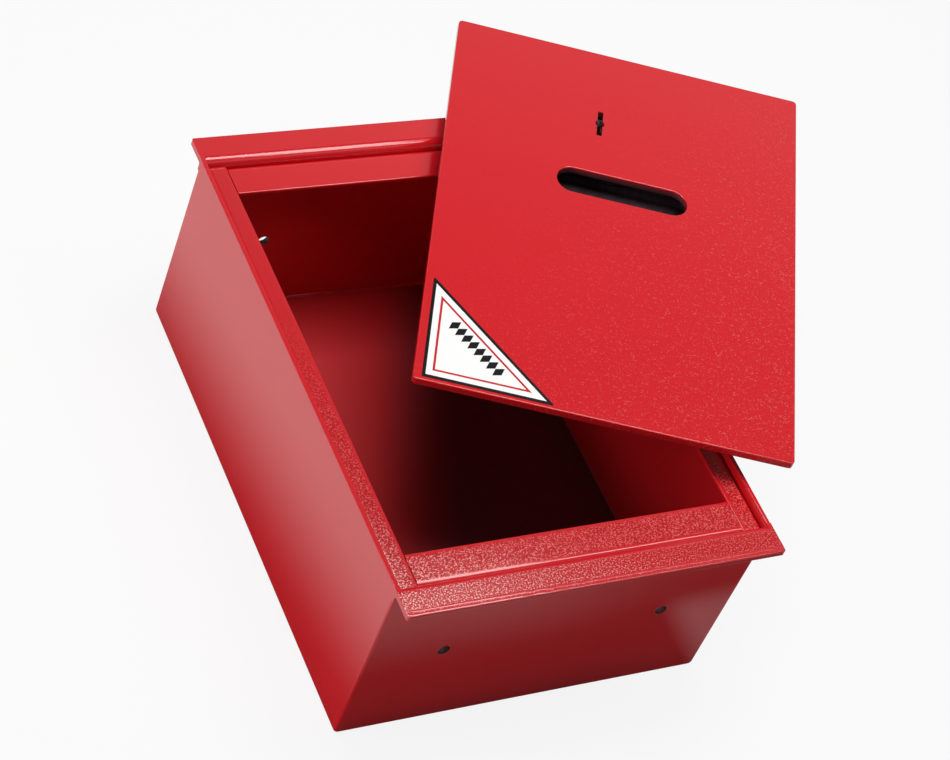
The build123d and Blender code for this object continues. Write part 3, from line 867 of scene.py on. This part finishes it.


# Mirrored level, a painted shadow seen only in reflections: a smooth step of how far out the floor
# lies, which is the largest of 0.09 y - x - 0.125, y - 0.17 and x - 0.22. In front of the safe a
# weaker step, from y -0.20 to -0.25, falls off to the right, and a painted lighter patch lies at
# the near right corner
def makeFloor():
    half = studio["floorHalf"]
    mesh = bpy.data.meshes.new("floor")
    corners = [(-half, -half, 0), (half, -half, 0), (half, half, 0), (-half, half, 0)]
    mesh.from_pydata(corners, [], [(0, 1, 2, 3)])
    obj = bpy.data.objects.new("floor", mesh)
    scene.collection.objects.link(obj)
    material, tree, place = newMaterial("paperSweep")
    rays = addNode(tree, "LightPath").outputs
    x, y = addNode(tree, "SeparateXYZ", {0: place}).outputs[:2]
    slant = addNode(tree, "Math", {
        0: y, 1: studio["slant"], 2: -studio["leftFrom"]}, operation="MULTIPLY_ADD")
    left = addNode(tree, "Math", {0: slant, 1: x}, operation="SUBTRACT")
    right = addNode(tree, "Math", {0: x, 1: studio["rightFrom"]}, operation="SUBTRACT")
    rear = addNode(tree, "Math", {0: y, 1: studio["rearFrom"]}, operation="SUBTRACT")
    out = addNode(tree, "Math", {0: left, 1: right}, operation="MAXIMUM")
    out = addNode(tree, "Math", {0: out, 1: rear}, operation="MAXIMUM")
    steps = {}
    sources = (("outer", out), ("front", y), ("frontFall", x), ("corner", x), ("cornerNear", y))
    for name, source in sources:
        steps[name] = addNode(tree, "MapRange", {
            "Value": source, fromTo: studio[name]}, interpolation_type="SMOOTHSTEP")
    front = addNode(tree, "Math", {
        0: steps["front"], 1: steps["frontFall"]}, operation="MULTIPLY")
    corner = addNode(tree, "Math", {
        0: steps["corner"], 1: steps["cornerNear"]}, operation="MULTIPLY")
    front = addNode(tree, "Math", {0: front, 1: corner}, operation="MAXIMUM")
    paintedReflectionLevel = addNode(tree, "Math", {0: steps["outer"], 1: front}, operation="MAXIMUM")
    level = addNode(tree, "Mix", {
        "Factor": rays["Is Glossy Ray"], 2: 1.0, 3: paintedReflectionLevel}, data_type="FLOAT")
    glow = addNode(tree, "Emission", {"Color": (1, 1, 1, 1), "Strength": level})
    diffuse = addNode(tree, "BsdfDiffuse", {"Color": linearColour(studio["floor"])})
    share = addNode(tree, "Math", {
        0: rays["Is Camera Ray"], 1: studio["seenWhite"], 2: rays["Is Glossy Ray"]},
        operation="MULTIPLY_ADD")
    share = addNode(tree, "Math", {0: share, 1: rays["Is Transmission Ray"]}, operation="MAXIMUM")
    shader = addNode(tree, "MixShader", {0: share, 1: diffuse, 2: glow})
    addNode(tree, "OutputMaterial", {"Surface": shader})
    mesh.materials.append(material)
    print("floor and sweep made")


# The world is white to the camera, a faint fill to matt surfaces, and to gloss a band that is
# brighter than the ceiling above it and the horizon below
def makeWorld():
    world = bpy.data.worlds.new("studio")
    scene.world = world
    world.use_nodes = True
    tree = world.node_tree
    tree.nodes.clear()
    rays = addNode(tree, "LightPath").outputs
    seen = addNode(tree, "Math", {
        0: rays["Is Camera Ray"], 1: rays["Is Transmission Ray"]}, operation="ADD")
    white = addNode(tree, "Background", {"Color": (1, 1, 1, 1), "Strength": 1.0})
    heading = addNode(tree, "TexCoord").outputs["Generated"]
    height = addNode(tree, "SeparateXYZ", {0: heading}).outputs[2]
    band = 1.0
    for name in ("ceiling", "horizon"):
        edge = addNode(tree, "MapRange", {
            "Value": height, fromTo: studio[name]}, interpolation_type="SMOOTHSTEP")
        band = addNode(tree, "Math", {0: band, 1: edge}, operation="MULTIPLY")
    level = addNode(tree, "Mix", {
        "Factor": rays["Is Glossy Ray"], 2: studio["fill"], 3: band}, data_type="FLOAT")
    soft = addNode(tree, "Background", {"Color": (1, 1, 1, 1), "Strength": level})
    shader = addNode(tree, "MixShader", {0: seen, 1: soft, 2: white})
    addNode(tree, "OutputWorld", {"Surface": shader})
    print("world made")


# Softboxes: place, the point each faces, width and height in metres, and watts
lamps = {
    "keyLamp": ((0.12, 0.155, 1.25), (0.12, 0.155, 0.0), (0.90, 0.53), 11.4),
    "sideKeyLamp": ((0.65, -0.26, 1.25), (0.65, -0.26, 0.0), (0.44, 0.24), 2.6),
    "leftLamp": ((-1.55, 0.20, 0.55), (0.0, 0.0, 0.1), (0.90, 0.70), 11.0),
    "frontFillLamp": ((-1.00, -1.35, 0.35), (0.0, -0.1, 0.07), (0.80, 0.50), 2.4),
}


def makeLamps():
    for name, (place, aim, size, power) in lamps.items():
        data = bpy.data.lights.new(name, "AREA")
        data.shape = "RECTANGLE"
        data.size, data.size_y = size
        data.energy = power
        obj = bpy.data.objects.new(name, data)
        turn = (Vector(aim) - Vector(place)).to_track_quat("-Z", "Y")
        obj.matrix_world = Matrix.Translation(place) @ turn.to_matrix().to_4x4()
        scene.collection.objects.link(obj)
    print("lamps", list(lamps))


makeFloor()
makeWorld()
makeLamps()
